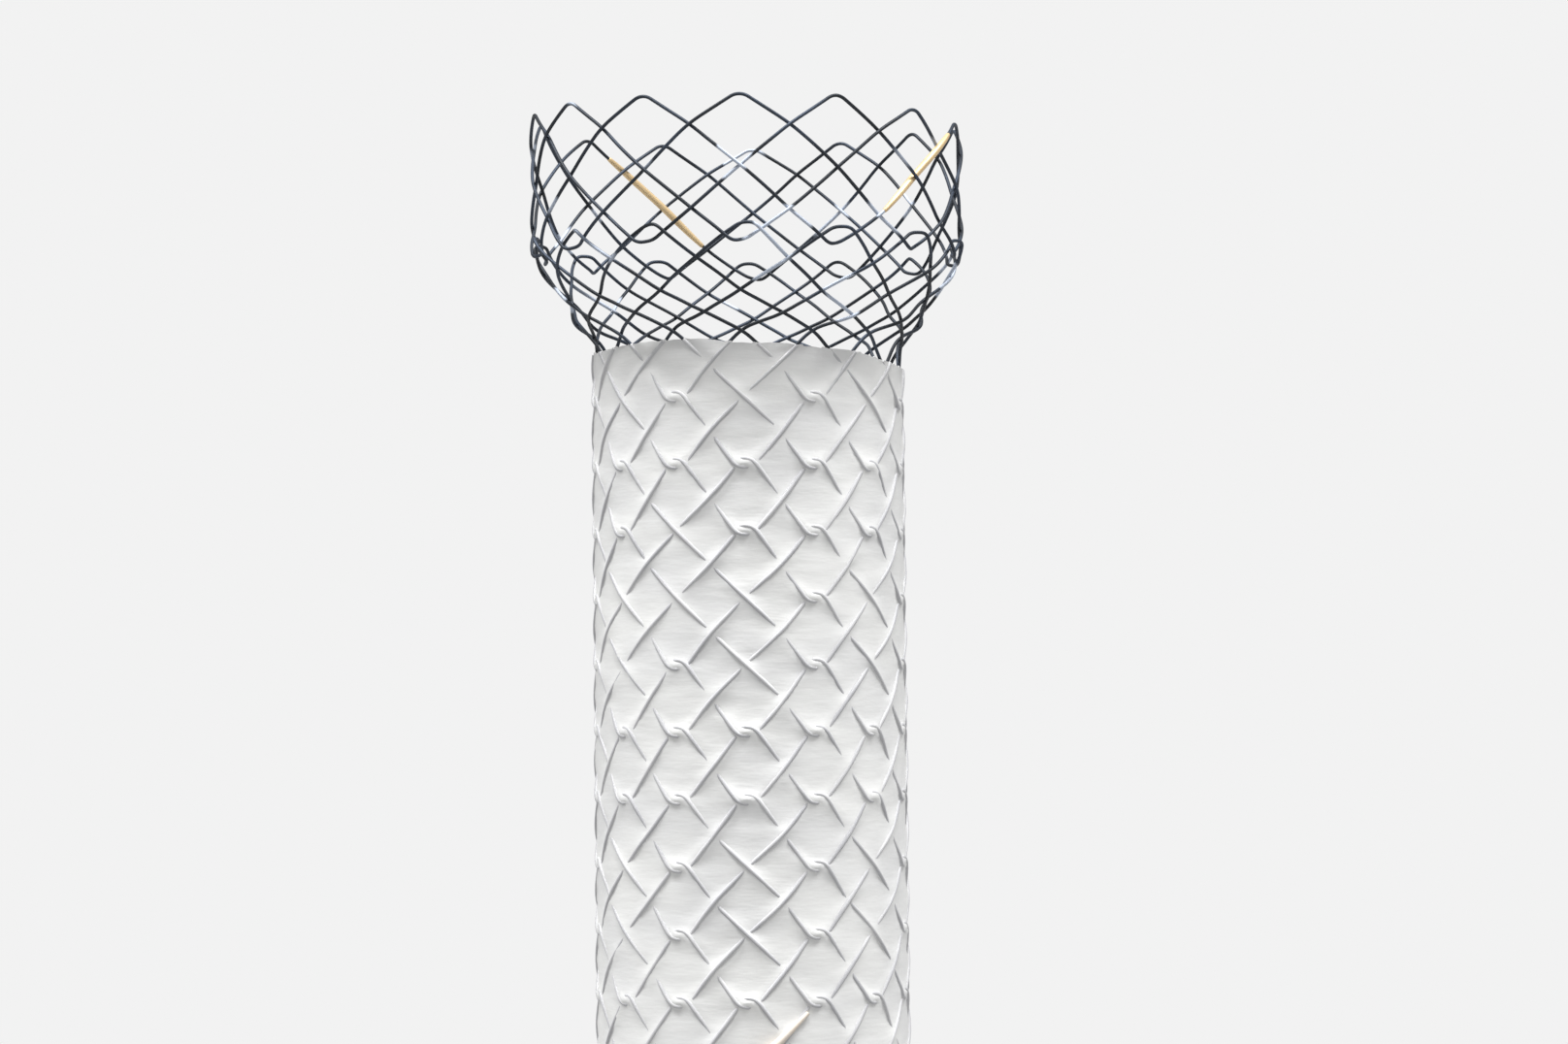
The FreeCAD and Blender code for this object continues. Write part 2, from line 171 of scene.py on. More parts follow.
@dataclass(frozen=True)
class Weave:
    """The hooked and woven tube, by columns round it and by depth below its upper end.

    Column 0 faces -Y, and columns count up towards +X. Depths and radii are millimetres. The sizes are
    those of the part's source. The shoulder and the unevenness, from slack on, are the scene's own. A
    wave has a height, a number round the tube, a pitch along it and a start.
    """

    length: float = 120.0
    body_diameter: float = 20.0
    flare_diameter: float = 27.8
    wire_radius: float = 0.11
    crossing_gap: float = 0.04
    hook_gap: float = 0.09
    columns: int = 14
    columns_per_crown: int = 4
    body_rows: int = 44
    first_body_row: int = 8
    tip_width: float = 0.6
    first_row: float = 1.87
    crown_pitch: float = 2.6
    hook_drop: float = 1.95
    hook_width: float = 0.87
    hook_overlap: float = 1.05
    hook_rise: float = 2.05
    neck_step: float = 1.85
    neck_ratio: float = 0.725
    cover_lip: float = 0.54
    wire_grip: float = 0.55
    marker_diameter: float = 0.5
    flare_markers: tuple = (3, 9)
    shoulder_height: float = 0.1
    shoulder_place: float = 0.7
    shoulder_width: float = 0.1
    slack: float = 0.06
    round_waves: tuple = ((1.0, 3, 0.31, 0), (0.6, 5, -0.5, 1))
    down_waves: tuple = ((1.0, 4, 0.4, 2), (0.5, 7, -0.3, 0))
    round_in_film: float = 0.35
    down_in_film: float = 0.15
    loose_reach: float = 20.0
    steady_reach: float = 3.0
    top_slant: float = 0.5
    slant_reach: float = 40.0
    crowns_reach: float = 7.0
    crowns_down: tuple = (-0.09, -0.2, 0.2, 0.4, 0.1, -0.37, -0.18, 0.16, 0.08, 0.26, 0.0, 0.0, -0.05, -0.05)

    @property
    def column_angle(self) -> float:
        """Angle from one column to the next."""
        return 2 * math.pi / self.columns

    @property
    def layer(self) -> float:
        """How far two wires that cross lie outside and inside the middle of the mesh."""
        return self.wire_radius + self.crossing_gap / 2

    @property
    def marked_layer(self) -> float:
        """The same for a wire that crosses a sleeve."""
        return self.layer + self.marker_diameter / 2 - self.wire_radius

    @property
    def flare_mid(self) -> float:
        """Radius of the middle of the mesh in a flare."""
        return self.flare_diameter / 2 - self.layer - self.wire_radius

    @property
    def body_mid(self) -> float:
        """Radius of the middle of the mesh in the body."""
        return self.body_diameter / 2 - 2 * self.wire_radius

    @property
    def flare_column(self) -> float:
        """Distance from one column to the next in a flare."""
        return self.flare_mid * self.column_angle

    @property
    def body_column(self) -> float:
        """Distance from one column to the next in the body."""
        return self.body_diameter / 2 * self.column_angle

    @property
    def tip_half(self) -> float:
        """Half the width of a crown's tip, in columns."""
        return self.tip_width / 2 / self.flare_column

    @property
    def hook_half(self) -> float:
        """Half the width of a hook, in columns."""
        return self.hook_width / 2 / self.flare_column

    @property
    def crown_rows(self) -> list:
        """Depths of the three rows of crossings below the crowns."""
        return [self.first_row + step * self.crown_pitch for step in range(3)]

    @property
    def hook_low(self) -> float:
        """Depth of the bottom of a crown wire's hook."""
        return self.crown_rows[2] + self.hook_drop

    @property
    def hook_high(self) -> float:
        """Depth of the top of a neck wire's loop."""
        return self.hook_low - self.hook_overlap

    @property
    def neck_rows(self) -> list:
        """Depths of the four rows of crossings of the neck, rows 5 to 8 of the weave."""
        rows = [self.hook_high + self.hook_rise]
        for step in range(3):
            rows.append(rows[-1] + self.neck_step * self.neck_ratio ** step)
        return rows

    @property
    def cover_depth(self) -> float:
        """Depth of the film's edge."""
        return self.neck_rows[3] + self.cover_lip

    @property
    def foot_depth(self) -> float:
        """Depth at which the mesh has come down to the body's radius."""
        return self.cover_depth + self.wire_grip

    @property
    def row_pitch(self) -> float:
        """From one row of the body to the next."""
        return (self.length - 2 * self.neck_rows[3]) / self.body_rows

    @property
    def last_body_row(self) -> int:
        """Row of the first open crossings of the lower neck."""
        return self.first_body_row + self.body_rows

    def row_depth(self, row: float) -> float:
        """Depth of a row of the body, or of the row of a neck next to it."""
        near = min(row, self.first_body_row + self.last_body_row - row)
        depth = self.neck_rows[3] + (near - self.first_body_row) * self.row_pitch
        if near < self.first_body_row:
            share = self.first_body_row - near
            depth = self.neck_rows[3] + (self.neck_rows[2] - self.neck_rows[3]) * share
        return depth if near == row else self.length - depth

    def hook_lift(self, from_row: float, to_end: float) -> float:
        """Lift at the end of a hook's arm that keeps it clear of the other wire.

        Args:
            from_row: Depth of the arm's last crossing.
            to_end: Depth of the arm's end.

        Returns:
            How far the end lies from the middle of the mesh.
        """
        crown_slope = self.hook_drop / (0.5 - self.hook_half)
        neck_slope = self.hook_rise / (0.5 - self.hook_half)
        meeting = (self.neck_rows[0] - self.crown_rows[2]) / (crown_slope + neck_slope)
        slope = crown_slope if to_end > from_row else neck_slope
        share = meeting * slope / abs(to_end - from_row)
        return (self.wire_radius + self.hook_gap / 2 + self.layer) / share - self.layer

    def mesh_radius(self, depth: np.ndarray) -> np.ndarray:
        """Radius of the middle of the mesh, from either end."""
        depth = np.minimum(depth, self.length - depth)
        share = np.clip((depth - self.hook_high) / (self.foot_depth - self.hook_high), 0, 1)
        shoulder = self.shoulder_height * np.exp(-((share - self.shoulder_place) / self.shoulder_width) ** 2)
        width = (1 + np.cos(math.pi * share)) / 2 + shoulder
        return self.body_mid + (self.flare_mid - self.body_mid) * width

    def _waves(self, waves: tuple, angle: np.ndarray, depth: np.ndarray) -> np.ndarray:
        """The sum of some waves round and along the tube."""
        return self.slack * sum(height * np.sin(number * angle + pitch * depth + start)
                                for height, number, pitch, start in waves)

    def uneven(self, column: np.ndarray, depth: np.ndarray) -> tuple:
        """How hand work leaves the mesh a little out of true. What crosses at a place moves together.

        Args:
            column: Column of each point.
            depth: Depth of each point.

        Returns:
            How far round and how far down each point has moved, in millimetres.
        """
        angle = column * self.column_angle
        from_end = np.minimum(depth, self.length - depth)
        steady = np.clip(from_end / self.steady_reach, 0, 1)
        loose = np.clip(1 - from_end / self.loose_reach, 0, 1) * steady
        round_it = self._waves(self.round_waves, angle, depth)
        round_it = round_it * (self.round_in_film + (1 - self.round_in_film) * loose)
        down = self._waves(self.down_waves, angle, depth) * (self.down_in_film * steady + loose)
        near_top = np.clip(1 - depth / self.slant_reach, 0, 1)
        droop = self.top_slant / 2 * (1 + np.sin(angle)) * near_top
        crowns = self.crowns_down + self.crowns_down[:1]
        own = np.interp(column % self.columns, np.arange(self.columns + 1), crowns)
        droop = droop + own * np.clip(1 - depth / self.crowns_reach, 0, 1)
        return round_it, down + droop

    def place(self, spots: np.ndarray) -> np.ndarray:
        """Points of the row frame from (column, depth, lift).

        Args:
            spots: Columns, depths and lifts off the middle of the mesh, one row each.

        Returns:
            The points in metres, one row each.
        """
        column, depth, lift = spots[:, 0], spots[:, 1], spots[:, 2]
        round_it, down = self.uneven(column, depth)
        small = 0.01
        slope = (self.mesh_radius(depth + small) - self.mesh_radius(depth - small)) / (2 * small)
        steep = np.sqrt(1 + slope ** 2)
        radius = self.mesh_radius(depth) + lift / steep
        height = self.length - depth - down + lift * slope / steep
        angle = column * self.column_angle - math.pi / 2 + round_it / radius
        return np.stack([radius * np.cos(angle), radius * np.sin(angle), height], axis=1) * MM

    def turned(self, spots: np.ndarray) -> np.ndarray:
        """The same (column, depth, lift) at the lower end, which is the upper end turned over."""
        return np.stack([-spots[:, 0], self.length - spots[:, 1], spots[:, 2]], axis=1)


@dataclass
class Flare:
    """The bare wires of one end, and the sleeves on them.

    Args:
        weave: Sizes of the tube.
        lower: True for the lower end.
    """

    weave: Weave
    lower: bool
    sides: int = 10
    step: float = 0.4
    tip_reach: float = 0.3
    hook_reach: float = 0.42
    crossing_reach: float = 0.9
    hook_shift: float = -0.015
    loop_shift: float = 0.065
    sunk: float = -0.16
    rows_in_film: float = 0.95
    marker_length: float = 9.0
    marker_middle_diameter: float = 0.46
    marker_end_diameter: float = 0.30
    marker_taper: float = 3.0
    marker_gap: float = 0.35
    marker_rim: tuple = ((0.0, 0.66), (0.04, 0.86), (0.12, 0.96), (0.3, 1.0))
    marker_plain: float = 0.5

    @property
    def end(self) -> str:
        """Word for the end in the pieces' names."""
        return "lower" if self.lower else "upper"

    def _line(self, spots: list, radius: float, closed: bool) -> Line:
        """A rod through (column, depth, lift, reach) corners, in this end's place."""
        weave = self.weave
        table = np.array(spots)
        scale = np.array([weave.flare_column, 1, 1])
        turns = 1 + int(abs(table[-1, 0] - table[0, 0]) / weave.columns)
        wrap = np.array([turns * weave.columns, 0, 0]) * scale if closed else None
        smooth = rounded(table[:, :3] * scale, table[:, 3], self.step, wrap) / scale
        if self.lower:
            smooth = weave.turned(smooth)
        points = weave.place(smooth)
        return Line(points, np.full(len(points), radius * MM), closed)

    def _marked(self) -> set:
        """Crossings that a sleeve passes, as twice the column, and row."""
        return {((2 * crown - 1 - row) % (2 * self.weave.columns), row)
                for crown in self.weave.flare_markers for row in (0, 1)}

    def _left_leg(self, crown: int) -> list:
        """Corners of the leg that falls to the left from a crown, from the top down."""
        weave = self.weave
        spots = [(crown - weave.tip_half, weave.wire_radius, 0.0, self.tip_reach)]
        for row, depth in enumerate(weave.crown_rows):
            lift = -weave.layer if row % 2 else weave.layer
            spots.append((crown - (row + 1) / 2, depth, lift, self.crossing_reach))
        return spots

    def crown_spots(self, first_crown: int) -> list:
        """Corners of one closed crown wire, from a crown's right shoulder on."""
        weave = self.weave
        marked = self._marked()
        low = weave.hook_lift(weave.crown_rows[2], weave.hook_low)
        spots = []
        crown = first_crown
        while crown == first_crown or (crown - first_crown) % weave.columns:
            spots.append((crown + weave.tip_half, weave.wire_radius, 0.0, self.tip_reach))
            for row, depth in enumerate(weave.crown_rows):
                column = crown + (row + 1) / 2
                passes = (round(2 * column) % (2 * weave.columns), row) in marked
                lift = (weave.marked_layer if passes else weave.layer) * (1 if row % 2 else -1)
                spots.append((column, depth, lift, self.crossing_reach))
            valley = crown + weave.columns_per_crown / 2 + self.hook_shift
            spots.append((valley - weave.hook_half, weave.hook_low, low, self.hook_reach))
            spots.append((valley + weave.hook_half, weave.hook_low, -low, self.hook_reach))
            crown += weave.columns_per_crown
            spots += reversed(self._left_leg(crown))
        return spots

    def neck_spots(self, crown: int) -> list:
        """Corners of one neck wire: a hooked loop and both its legs, into the film."""
        weave = self.weave
        high = weave.hook_lift(weave.neck_rows[0], weave.hook_high)
        leg = [(0.5 * (row + 1), depth, weave.layer if row % 2 else -weave.layer)
               for row, depth in enumerate(weave.neck_rows)]
        inner = weave.row_depth(weave.first_body_row + self.rows_in_film)
        foot = leg[-1][0] + self.rows_in_film / 2
        top = crown + self.loop_shift
        spots = [(crown - foot, inner, self.sunk, 0.0)]
        spots += [(crown - column, depth, -lift, self.crossing_reach)
                  for column, depth, lift in reversed(leg)]
        spots.append((top - weave.hook_half, weave.hook_high, -high, self.hook_reach))
        spots.append((top + weave.hook_half, weave.hook_high, high, self.hook_reach))
        spots += [(crown + column, depth, lift, self.crossing_reach) for column, depth, lift in leg]
        spots.append((crown + foot, inner, self.sunk, 0.0))
        return spots

    def marker_line(self, crown: int) -> Line:
        """A sleeve on the leg that falls to the left from a crown, tapered at its ends."""
        line = self._line(self._left_leg(crown), self.weave.wire_radius, False)
        steps = np.linalg.norm(np.diff(line.points, axis=0), axis=1) / MM
        along = np.concatenate([[0], np.cumsum(steps)])
        end = along[-1] - self.marker_gap
        start = end - self.marker_length
        rim, rim_widths = np.array(self.marker_rim).T
        plain = np.linspace(start + self.marker_plain, end - self.marker_plain, SLEEVE_POINTS - 2 * len(rim))
        stops = np.concatenate([start + rim, plain, end - rim[::-1]])
        points = np.stack([np.interp(stops, along, line.points[:, axis]) for axis in range(3)], axis=1)
        from_end = np.minimum(stops - start, end - stops)
        thin = self.marker_end_diameter / 2
        full = self.marker_middle_diameter / 2
        radii = thin + (full - thin) * np.sin(np.clip(from_end / self.marker_taper, 0, 1) * math.pi / 2)
        radii *= np.interp(from_end, rim, rim_widths)
        return Line(points, radii * MM)

    def build(self, wire: Material, gold: Material) -> None:
        """Makes the crown wires, the neck wires and the sleeves of this end.

        Args:
            wire: Finish of the wires.
            gold: Finish of the sleeves.
        """
        weave = self.weave
        for number in range(math.gcd(weave.columns_per_crown, weave.columns)):
            line = self._line(self.crown_spots(number), weave.wire_radius, True)
            name = f"{self.end}_crown_wire_{number + 1}"
            piece = rods(f"{name}_drawn", [line], self.sides)
            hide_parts(name)
            dressed(piece, wire)
        lines = [self._line(self.neck_spots(crown), weave.wire_radius, False)
                 for crown in range(weave.columns)]
        piece = rods(f"{self.end}_neck_wires", lines, self.sides)
        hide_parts("covered_body")
        dressed(piece, wire)
        for number, crown in enumerate(weave.flare_markers, start=1):
            name = f"{self.end}_marker_{number}"
            piece = rods(f"{name}_sleeve", [self.marker_line(crown)], SLEEVE_SIDES)
            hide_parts(name)
            dressed(piece, gold)


def dressed(piece: Object, material: Material) -> Object:
    """Gives a piece its one finish and fixes it to the stent.

    Args:
        piece: The finished mesh.
        material: Its finish.

    Returns:
        The same piece.
    """
    piece.data.materials.clear()
    piece.data.materials.append(material)
    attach(piece, "root")
    log.info("%s: %d faces", piece.name, len(piece.data.polygons))
    return piece


# The film over the body


@dataclass
class Stroke:
    """One stretch of wire that shows through the film, from where it dives to where it dives.

    Args:
        spots: (column, depth, lift) along it, one row each.
        slope: Which way it runs.
    """

    spots: np.ndarray
    slope: Slope


@dataclass
class Cover:
    """The film with the wires that it wraps.

    A place near a hook is given in columns, rows and layers. The film's rows of vertices lie close
    together by the wires. A wrinkle has a height, a fineness across, a pitch along and a start.

    Args:
        weave: Sizes of the tube.
    """

    weave: Weave
    edge_drop: float = 0.2
    edge_wave: float = 0.65
    edge_slant: float = 0.35
    edge_ripples: tuple = ((0.06, 5, 0.8), (0.04, 11, 2.0))
    edge_margin: float = 0.02
    slant_band: float = 4.0
    unhooked: tuple = ((-1, 14), (-1, 16))
    wrapped_radius: float = 0.15
    wrapped_sides: int = 8
    line_step: float = 0.45
    line_reach: float = 1.2
    line_end: float = 0.72
    hook_reach: float = 0.55
    hook_half: float = 0.11
    hook_bottom: float = 0.13
    below_hook: tuple = (-0.14, 0.14, 0.6)
    above_hook: tuple = (0.17, -0.01, 0.45)
    beside_hook: tuple = (0.02, 0.03, 0.0)
    hook_swell: float = 0.17
    swell_half: float = 0.08
    tent_width: float = 0.9
    tent_top: float = 0.14
    tent_blend: int = 8
    flat_drop: float = 0.04
    film_wall: float = 0.07
    film_rows: tuple = (0, 0.05, 0.125, 0.265, 0.5, 0.735, 0.875, 0.95)
    wrinkle: float = 0.075
    wrinkles: tuple = ((1.0, 4.2, 1.05, 0), (0.5, 1.5, 0.12, 7))

    def edge(self, column: np.ndarray) -> np.ndarray:
        """Depth of the film's cut edge round the upper end."""
        angle = np.asarray(column, float) * self.weave.column_angle
        slant = self.edge_drop + self.edge_wave * np.sin(angle) ** 2 + self.edge_slant * np.sin(angle)
        ripple = sum(size * np.sin(count * angle + start) for size, count, start in self.edge_ripples)
        return self.weave.cover_depth + slant + ripple

    def hooked(self, column: int, row: int) -> bool:
        """True where the wires hook into each other at a node, False where they cross."""
        weave = self.weave
        around = (column + weave.columns // 2) % weave.columns - weave.columns // 2
        within = weave.first_body_row < row < weave.last_body_row
        if not within or (around, row) in self.unhooked:
            return False
        turn = (row - weave.first_body_row) // 2
        return around % 2 == 1 or turn % 4 in (2, 3)

    def _bend(self, corners: list, reach: float) -> np.ndarray:
        """Rounds (column, row, lift) corners and gives (column, depth, lift) points."""
        weave = self.weave
        table = np.array([(column, weave.row_depth(row), lift) for column, row, lift in corners])
        scale = np.array([weave.body_column, 1.0, 1.0])
        return rounded(table * scale, np.full(len(table), reach), self.line_step) / scale

    def strokes(self) -> list:
        """Every stretch of wire that shows through the film."""
        weave = self.weave
        first, last = weave.first_body_row, weave.last_body_row
        over, under = weave.layer, -weave.layer
        end_lift = under * self.line_end
        half, bottom = self.hook_half, self.hook_bottom
        crossing = 0.5 - (0.5 - half) / (1 + bottom)
        layers = np.array([1, 1, over])
        found = []
        for row in range(first, last + 1):
            for step in range(weave.columns):
                if row % 2:
                    start, middle, end = np.array([
                        (step + 1, row - 1, end_lift), (step + 0.5, row, over), (step, row + 1, end_lift)])
                    if self.hooked(step + 1, row - 1):
                        start += self.below_hook * layers
                        middle += self.beside_hook
                    if self.hooked(step, row + 1):
                        end += self.above_hook * layers
                        middle += self.beside_hook
                    points = self._bend([start, middle, end], self.line_reach)
                    found.append(Stroke(points, Slope.FALLING_LEFT))
                elif not self.hooked(step, row):
                    corners = [(step - 0.5, row - 1, end_lift), (step, row, over),
                               (step + 0.5, row + 1, end_lift)]
                    points = self._bend(corners, self.line_reach)
                    found.append(Stroke(points, Slope.FALLING_RIGHT))
                else:
                    arm = [(step - 0.5, row - 1, 0.0), (step - half, row + bottom, 0.0),
                           (step + half, row + bottom, 0.0), (step + 0.5, row - 1, 0.0)]
                    valley = self._bend(arm, self.hook_reach)
                    valley = valley[valley[:, 0] < step + crossing + 0.02]
                    knots = [-0.5, -0.42, -crossing - 0.04, 0.0, crossing]
                    lifts = [end_lift, end_lift * 0.8, over * 0.9, over * 0.4, under]
                    valley[:, 2] = np.interp(valley[:, 0] - step, knots, lifts)
                    peak = valley[::-1] * [-1, -1, 1] + [2 * step, 2 * weave.row_depth(row), 0]
                    found.append(Stroke(valley, Slope.FALLING_RIGHT))
                    found.append(Stroke(peak, Slope.FALLING_RIGHT))
        return [stroke for stroke in map(self._cut, found) if stroke is not None]

    def swells(self) -> list:
        """Short level stretches that lift the film where two wires hook into each other."""
        weave = self.weave
        ends = (-self.swell_half, self.swell_half)
        return [Stroke(np.array([(step + end, weave.row_depth(row), self.hook_swell) for end in ends]),
                       Slope.FALLING_RIGHT)
                for row in range(weave.first_body_row, weave.last_body_row + 1, 2)
                for step in range(weave.columns) if self.hooked(step, row)]

    def _cut(self, stroke: Stroke) -> Optional[Stroke]:
        """The part of a stroke that lies within the film, or None."""
        spots = stroke.spots
        upper = self.edge(spots[:, 0]) + self.edge_margin
        lower = self.weave.length - self.edge(-spots[:, 0]) - self.edge_margin
        inside = (spots[:, 1] > upper) & (spots[:, 1] < lower)
        if inside.sum() < 2:
            return None
        if inside.all():
            return stroke
        kept = list(spots[inside])
        for index in np.where(~inside)[0]:
            for neighbour in (index - 1, index + 1):
                if 0 <= neighbour < len(spots) and inside[neighbour]:
                    near, far = spots[neighbour], spots[index]
                    limit = upper[index] if far[1] < near[1] else lower[index]
                    share = (limit - near[1]) / (far[1] - near[1])
                    point = near + (far - near) * share
                    if neighbour > index:
                        kept.insert(0, point)
                    else:
                        kept.append(point)
        return Stroke(np.array(kept), stroke.slope)

    def _heights(self, columns: np.ndarray, depths: np.ndarray, strokes: list) -> np.ndarray:
        """Lift of the film's outer face, stretched like tents over the wires under it.

        Args:
            columns: Column of each vertex.
            depths: Depth of each vertex.
            strokes: The wires under the film.

        Returns:
            How far each vertex lies outside the middle of the mesh.
        """
        weave = self.weave
        across = columns * weave.body_column
        round_trip = weave.columns * weave.body_column
        total = np.zeros(len(columns))
        for stroke in strokes:
            x = stroke.spots[:, 0] * weave.body_column
            z = stroke.spots[:, 1]
            centre = (x.min() + x.max()) / 2
            side = (across - centre + round_trip / 2) % round_trip - round_trip / 2
            near = (np.abs(side) < (x.max() - x.min()) / 2 + self.tent_width)
            near &= (depths > z.min() - self.tent_width) & (depths < z.max() + self.tent_width)
            spots = np.where(near)[0]
            if not len(spots):
                continue
            along = np.stack([x - centre, z], axis=1)
            starts, runs = along[:-1], np.diff(along, axis=0)
            points = np.stack([side[spots], depths[spots]], axis=1)[:, None, :]
            share = ((points - starts) * runs).sum(-1) / (runs ** 2).sum(-1)
            share = np.clip(share, 0, 1)
            closest = starts + share[..., None] * runs
            distance = np.linalg.norm(points - closest, axis=-1)
            lift = stroke.spots[:-1, 2] + share * np.diff(stroke.spots[:, 2])
            top = lift + self.wrapped_radius - self.tent_top + self.flat_drop
            fade = np.clip(1 - distance / self.tent_width, 0, 1) ** 2
            best = (np.clip(top, 0, None) * fade).max(axis=1)
            total[spots] += best ** self.tent_blend
        return total ** (1 / self.tent_blend) - self.flat_drop

    def film(self, strokes: list) -> Object:
        """The film as one thin closed sheet round the body."""
        weave = self.weave
        fractions = np.array(self.film_rows)
        fine = len(fractions)
        around = weave.columns * fine
        low = weave.first_body_row * fine
        high = weave.last_body_row * fine
        rows = high - low + 1
        first, offset = np.meshgrid(np.arange(around), np.arange(low, high + 1), indexing="ij")
        second = first + offset
        p = first // fine + fractions[first % fine]
        q = second // fine + fractions[second % fine]
        columns = ((p + q) / 2).ravel()
        body_rows = (q - p).ravel()
        depths = weave.neck_rows[3] + (body_rows - weave.first_body_row) * weave.row_pitch
        angle = columns * weave.column_angle - math.pi / 2
        radius = weave.body_diameter / 2
        height = weave.length - depths
        points = np.stack([radius * np.cos(angle), radius * np.sin(angle), height], axis=1) * MM
        numbers = first * rows + offset - low
        after = np.roll(numbers, -1, axis=0)
        quads = np.stack([numbers[:, 1:-1], after[:, :-2], after[:, 1:-1], numbers[:, 2:]], axis=-1)
        mesh = bpy.data.meshes.new("film")
        mesh.from_pydata(points.tolist(), [], quads.reshape(-1, 4).tolist())
        piece = bpy.data.objects.new("cover_film", mesh)
        bpy.context.scene.collection.objects.link(piece)
        return self._trimmed(piece, strokes)

    def _wrinkles(self, columns: np.ndarray, depths: np.ndarray) -> np.ndarray:
        """Soft creases round the body and slow waves along it."""
        found = np.empty(len(columns))
        for index, (turn, depth) in enumerate(zip(columns * self.weave.column_angle, depths)):
            x, y = math.cos(turn), math.sin(turn)
            found[index] = self.wrinkle * sum(
                height * noise.noise(Vector((x * fine, y * fine, depth * pitch + start)))
                for height, fine, pitch, start in self.wrinkles)
        return found

    def _slanted(self, columns: np.ndarray, depths: np.ndarray) -> np.ndarray:
        """Depths drawn along, so that the sheet's two straight cuts come to lie on the film's edges."""
        weave = self.weave
        for lower in (False, True):
            own = weave.length - depths if lower else depths
            slant = self.edge(-columns if lower else columns) - weave.cover_depth
            share = np.clip(1 - (own - weave.cover_depth) / self.slant_band, 0, 1)
            own = own + slant * share ** 2
            depths = weave.length - own if lower else own
        return depths

    def _trimmed(self, piece: Object, strokes: list) -> Object:
        """Cuts the plain sheet at both ends, stretches it over the wires and gives it its wall."""
        weave = self.weave
        select_only(piece)
        bpy.ops.object.mode_set(mode="EDIT")
        for height, above in ((weave.length - weave.cover_depth, True), (weave.cover_depth, False)):
            bpy.ops.mesh.select_all(action="SELECT")
            bpy.ops.mesh.bisect(plane_co=(0, 0, height * MM), plane_no=(0, 0, 1),
                                clear_outer=above, clear_inner=not above)
        bpy.ops.mesh.select_all(action="SELECT")
        bpy.ops.mesh.remove_doubles(threshold=2e-6)
        bpy.ops.object.mode_set(mode="OBJECT")
        mesh = piece.data
        co = np.empty(len(mesh.vertices) * 3)
        mesh.vertices.foreach_get("co", co)
        co = co.reshape(-1, 3)
        columns = (np.arctan2(co[:, 1], co[:, 0]) + math.pi / 2) / weave.column_angle
        depths = self._slanted(columns, weave.length - co[:, 2] / MM)
        lifts = self._heights(columns, depths, strokes + self.swells())
        lifts += self._wrinkles(columns, depths)
        co = weave.place(np.stack([columns, depths, lifts], axis=1))
        mesh.vertices.foreach_set("co", co.ravel())
        mesh.update()
        wall = piece.modifiers.new("wall", "SOLIDIFY")
        wall.thickness = self.film_wall * MM
        wall.offset = -1
        select_only(piece)
        bpy.ops.object.modifier_apply(modifier="wall")
        bpy.ops.object.shade_smooth_by_angle(angle=SHARP_FILM)
        return piece

    def wrapped(self, name: str, strokes: list) -> Object:
        """The wires that show through the film, with the film round them."""
        lines = []
        for stroke in strokes:
            points = self.weave.place(stroke.spots)
            lines.append(Line(points, np.full(len(points), self.wrapped_radius * MM)))
        return rods(name, lines, self.wrapped_sides)

    def build(self, finish: Material, tinted: Material) -> None:
        """Makes the film and the wires under it.

        Args:
            finish: Finish of the film.
            tinted: Finish of the film where a wire shows through it, its grey partly painted shade on the
                raised lines.
        """
        strokes = self.strokes()
        log.info("%d stretches of wire under the film", len(strokes))
        film = dressed(self.film(strokes), finish)
        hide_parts("covered_body")
        for slope, name in ((Slope.FALLING_LEFT, "raised_lines_to_the_left"),
                            (Slope.FALLING_RIGHT, "raised_lines_to_the_right")):
            chosen = [stroke for stroke in strokes if stroke.slope is slope]
            piece = dressed(self.wrapped(name, chosen), tinted)
            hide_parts("covered_body")
        covered = self.weave.length - 2 * self.weave.cover_depth
        flat = (math.pi * self.weave.body_diameter * MM, covered * MM)


# The sleeves at mid-length


